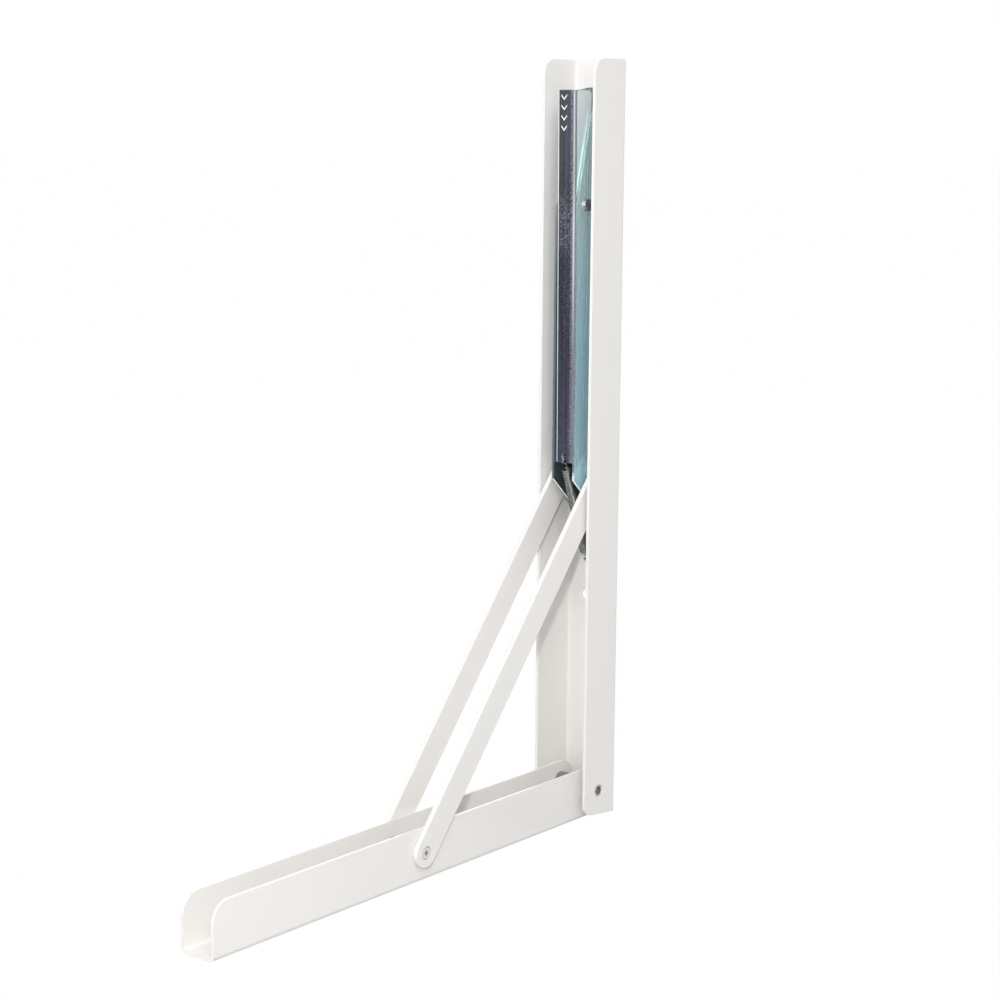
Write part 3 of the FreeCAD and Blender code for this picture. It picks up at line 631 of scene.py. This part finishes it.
def plateGuide(piece):
    names = ["cutEdgeGlintAndShade", "guideNearLit", "guideInsideShade", "farEdgeShade", "tipGlint", "tipCoreShade", "guideFarShaded"]
    for name in names:
        piece.data.materials.append(zinc[name])
    zones = guideZones
    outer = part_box("guide_channel")[1]
    slack = zones["slack"] * mm
    inner = outer.y - zones["gauge"] * mm
    floor = outer.x - (zones["gauge"] + zones["floorSlack"]) * mm
    for face in piece.data.polygons:
        turn, spot = face.normal, face.center
        sideways = abs(turn.y) > zones["facing"]
        look = "cutEdgeGlintAndShade"
        if turn.x > zones["backFacing"] or (sideways and abs(spot.y) > outer.y - slack):
            look = "guideNearLit" if turn.y < -zones["facing"] else "guideFarShaded"
        elif (sideways and abs(spot.y) < inner + slack) or spot.x > floor:
            look = "guideInsideShade"
        elif spot.z > zones["tip"] * mm:
            look = "tipGlint" if abs(turn.y) > zones["rimFacing"] else "tipCoreShade"
        elif spot.y > 0 and turn.x < -zones["facing"]:
            look = "farEdgeShade"
        # near bevels facing out take the painted shade as well
        elif spot.y < 0 and turn.y < -zones["rimFacing"]:
            look = "guideInsideShade"
        face.material_index = names.index(look)


finishFor = {"guide_channel": plateGuide, "release_lever": plateLever}
for node, work in sheetWork.items():
    piece = workSheet(node, work)
    finishFor.get(node, coat)(piece)
print("sheet pieces worked:", len(sheetWork))


# turned and moulded parts keep their CAD meshes and get their finish
turnedLook = {
    "pin": (steel["pinSteel"], ["guide_rivets", "lever_pin", "slider_pin", "strut_top_rivet_near",
                                "strut_top_rivet_far", "pivot_sleeve"]),
    "pale": (steel["paleSteel"], ["pivot_barrel", "pivot_screw"]),
    "headed": (shadedRivetHead, ["strut_foot_rivet_near", "strut_foot_rivet_far"]),
    "nylon": (nylon, ["slider_washer_near", "slider_washer_far", "pivot_spacer_near",
                      "pivot_spacer_far"]),
}
for material, names in turnedLook.values():
    for name in names:
        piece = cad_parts[name]
        piece.data.materials.clear()
        piece.data.materials.append(material)
print("turned parts finished")


# release spring: close-wound coils with an open eye at each end, in mm
spring = {
    "upperEye": (-11.75, 0, 193.82),
    "lowerEye": (8.90, 0, 139.67),
    "upperRadius": 1.6,
    "lowerRadius": 1.35,
    "lead": 3.2,  # near the upper eye
    "tail": 2.2,  # near the lower eye
    "bendsFrom": (8.0, 0, 142.0),  # still with the arm up to here
    "bendsTo": (-11.0, 0, 191.0),  # with the lever from here
    "coilRadius": 2.35,
    "wire": 0.9,
    "pitch": 1.02,  # in wires
    "steps": 18,
    "eyeSteps": 20,
    "eyeSweep": 300,
}


def springPath():
    top, foot = Vector(spring["upperEye"]), Vector(spring["lowerEye"])
    along = (foot - top).normalized()
    out = Vector((0, 1, 0))
    side = along.cross(out).normalized()
    first = top + along * (spring["upperRadius"] + spring["lead"])
    last = foot - along * (spring["lowerRadius"] + spring["tail"])
    sweep, eyeSteps = math.radians(spring["eyeSweep"]), spring["eyeSteps"]
    points = []
    for step in range(eyeSteps + 1):
        turn = sweep * (1 - step / eyeSteps)
        rim = along * math.cos(turn) + side * math.sin(turn)
        points.append(top + spring["upperRadius"] * rim)
    turns = round((last - first).length / (spring["wire"] * spring["pitch"]))
    for step in range(turns * spring["steps"] + 1):
        share = step / (turns * spring["steps"])
        turn = 2 * math.pi * step / spring["steps"]
        rim = side * math.cos(turn) + out * math.sin(turn)
        points.append(first.lerp(last, share) + rim * spring["coilRadius"])
    for step in range(eyeSteps + 1):
        turn = sweep * step / eyeSteps
        rim = -along * math.cos(turn) + side * math.sin(turn)
        points.append(foot + spring["lowerRadius"] * rim)
    return points


def makeSpring():
    points = springPath()
    path = bpy.data.curves.new("releaseSpring", "CURVE")
    path.dimensions = "3D"
    line = path.splines.new("POLY")
    line.points.add(len(points) - 1)
    for point, place in zip(line.points, points):
        point.co = (*(place * mm), 1)
    path.bevel_depth = spring["wire"] / 2 * mm
    path.bevel_resolution = 2
    path.use_fill_caps = True
    piece = bpy.data.objects.new("release_spring_wound", path)
    bpy.context.scene.collection.objects.link(piece)
    pickOnly(piece)
    bpy.ops.object.convert(target="MESH")
    piece = bpy.context.object
    bpy.ops.object.shade_smooth()
    piece.data.materials.clear()
    piece.data.materials.append(steel["springWire"])
    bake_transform(piece)
    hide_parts("release_spring")


makeSpring()
print("spring wound")


# push marks on the lever: plain raised chevrons, in mm
marks = {
    "count": 4,
    "first": 382.4,
    "pitch": 5.2,
    "aside": 1.2,
    "width": 3.4,
    "point": 2.0,
    "stroke": 0.9,
    "raise": 0.14,
    "sunk": 0.06,
    "lean": 0.7,  # of the lever's face, in degrees
}


def makeMark():
    bpy.ops.mesh.primitive_plane_add(size=1, location=(0, 0, 0), rotation=(0, -math.pi / 2, 0))
    mark = bpy.context.object
    mark.scale = (marks["stroke"] * mm, marks["width"] * mm, 1)
    bpy.ops.object.transform_apply(location=False, rotation=True, scale=True)
    bpy.ops.object.mode_set(mode="EDIT")
    bpy.ops.mesh.subdivide(number_cuts=1)
    bpy.ops.mesh.select_all(action="DESELECT")
    bpy.ops.object.mode_set(mode="OBJECT")
    for corner in mark.data.vertices:
        corner.select = abs(corner.co.y) < marks["width"] / 4 * mm  # the middle row
    bpy.ops.object.mode_set(mode="EDIT")
    bpy.ops.transform.translate(value=(0, 0, -marks["point"] * mm))
    bpy.ops.mesh.select_all(action="SELECT")
    rise = (-marks["raise"] * mm, 0, 0)
    bpy.ops.mesh.extrude_region_move(TRANSFORM_OT_translate={"value": rise})
    bpy.ops.mesh.select_all(action="SELECT")
    bpy.ops.mesh.normals_make_consistent(inside=False)
    bpy.ops.object.mode_set(mode="OBJECT")
    return mark


def makeMarks():
    letGo()
    low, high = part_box("release_lever")
    lean = math.tan(math.radians(marks["lean"]))
    model = makeMark()
    for number in range(marks["count"]):
        level = (marks["first"] - number * marks["pitch"]) * mm
        face = low.x + (high.z - level) * lean
        copy = bpy.data.objects.new("mark", model.data.copy())
        bpy.context.scene.collection.objects.link(copy)
        copy.location = (face + marks["sunk"] * mm, marks["aside"] * mm, level)
        copy.select_set(True)
    model.select_set(False)
    bpy.context.view_layer.objects.active = copy
    bpy.ops.object.join()
    bpy.ops.object.transform_apply(location=True, rotation=False, scale=False)
    copy.name = "push_marks"
    copy.data.materials.append(steel["brightMark"])
    bpy.data.objects.remove(model)
    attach(copy, "lever")


makeMarks()
print("push marks raised")


# studio: pale floor, white surround, soft lamps; places and lamp sizes in mm, the floor's in m
studio = {
    "surround": 0.52,
    "floorWhite": 0.62,
    "floorRough": 0.9,
    "floorLift": 0.995,
    "floorSize": 160,
    "floorDrop": 0.2,
    "aim": (-60, 0, 180),
    "lamps": {
        "key": {"place": (-1006, -678, 555), "size": 55, "power": 6.3},
        "front": {"place": (-1850, 800, 800), "size": 1000, "power": 4},
        "upper": {"place": (-1060, -1040, 1720), "size": 900, "power": 12},
        "back": {"place": (1260, 1080, 900), "size": 1400, "power": 8},
    },
}


# 1 where the camera sees it, straight or in metal or glass
def seenBy(tree):
    rays = tree.nodes.new("ShaderNodeLightPath")
    seen = rays.outputs["Is Camera Ray"]
    for kind in ("Is Glossy Ray", "Is Transmission Ray"):
        either = addNode(tree, "ShaderNodeMath", operation="MAXIMUM")
        tree.links.new(seen, either.inputs[0])
        tree.links.new(rays.outputs[kind], either.inputs[1])
        seen = either.outputs[0]
    return seen


def makeSurround():
    world = bpy.data.worlds.new("surround")
    bpy.context.scene.world = world
    world.use_nodes = True
    tree = world.node_tree
    strength = addNode(tree, "ShaderNodeMapRange")
    strength.inputs["To Min"].default_value = studio["surround"]
    strength.inputs["To Max"].default_value = 1.0
    tree.links.new(seenBy(tree), strength.inputs["Value"])
    tree.nodes["Background"].inputs["Color"].default_value = (1, 1, 1, 1)
    tree.links.new(strength.outputs["Result"], tree.nodes["Background"].inputs["Strength"])


def makeFloor():
    level = -studio["floorDrop"] * mm
    bpy.ops.mesh.primitive_plane_add(size=studio["floorSize"], location=(0, 0, level))
    floor = bpy.context.object
    floor.name = "floor"
    material, tree, shader = newMaterial("paleFloor")
    shader.inputs["Base Color"].default_value = (*(studio["floorWhite"],) * 3, 1)
    shader.inputs["Roughness"].default_value = studio["floorRough"]
    shader.inputs["Specular IOR Level"].default_value = 0
    glow = addNode(tree, "ShaderNodeEmission", Strength=1.0)
    blend = addNode(tree, "ShaderNodeMixShader")
    tree.links.new(scaled(tree, seenBy(tree), studio["floorLift"]), blend.inputs["Fac"])
    tree.links.new(shader.outputs[0], blend.inputs[1])
    tree.links.new(glow.outputs[0], blend.inputs[2])
    tree.links.new(blend.outputs[0], tree.nodes["Material Output"].inputs["Surface"])
    floor.data.materials.append(material)


def makeLamps():
    aim = at(studio["aim"])
    for name, lamp in studio["lamps"].items():
        bpy.ops.object.light_add(type="AREA", location=at(lamp["place"]))
        light = bpy.context.object
        light.name = name + "Lamp"
        light.data.size = lamp["size"] * mm
        light.data.energy = lamp["power"]
        light.rotation_euler = (aim - light.location).to_track_quat("-Z", "Y").to_euler()


makeSurround()
makeFloor()
makeLamps()
bpy.context.scene.view_settings.view_transform = "Standard"
print("studio lit")
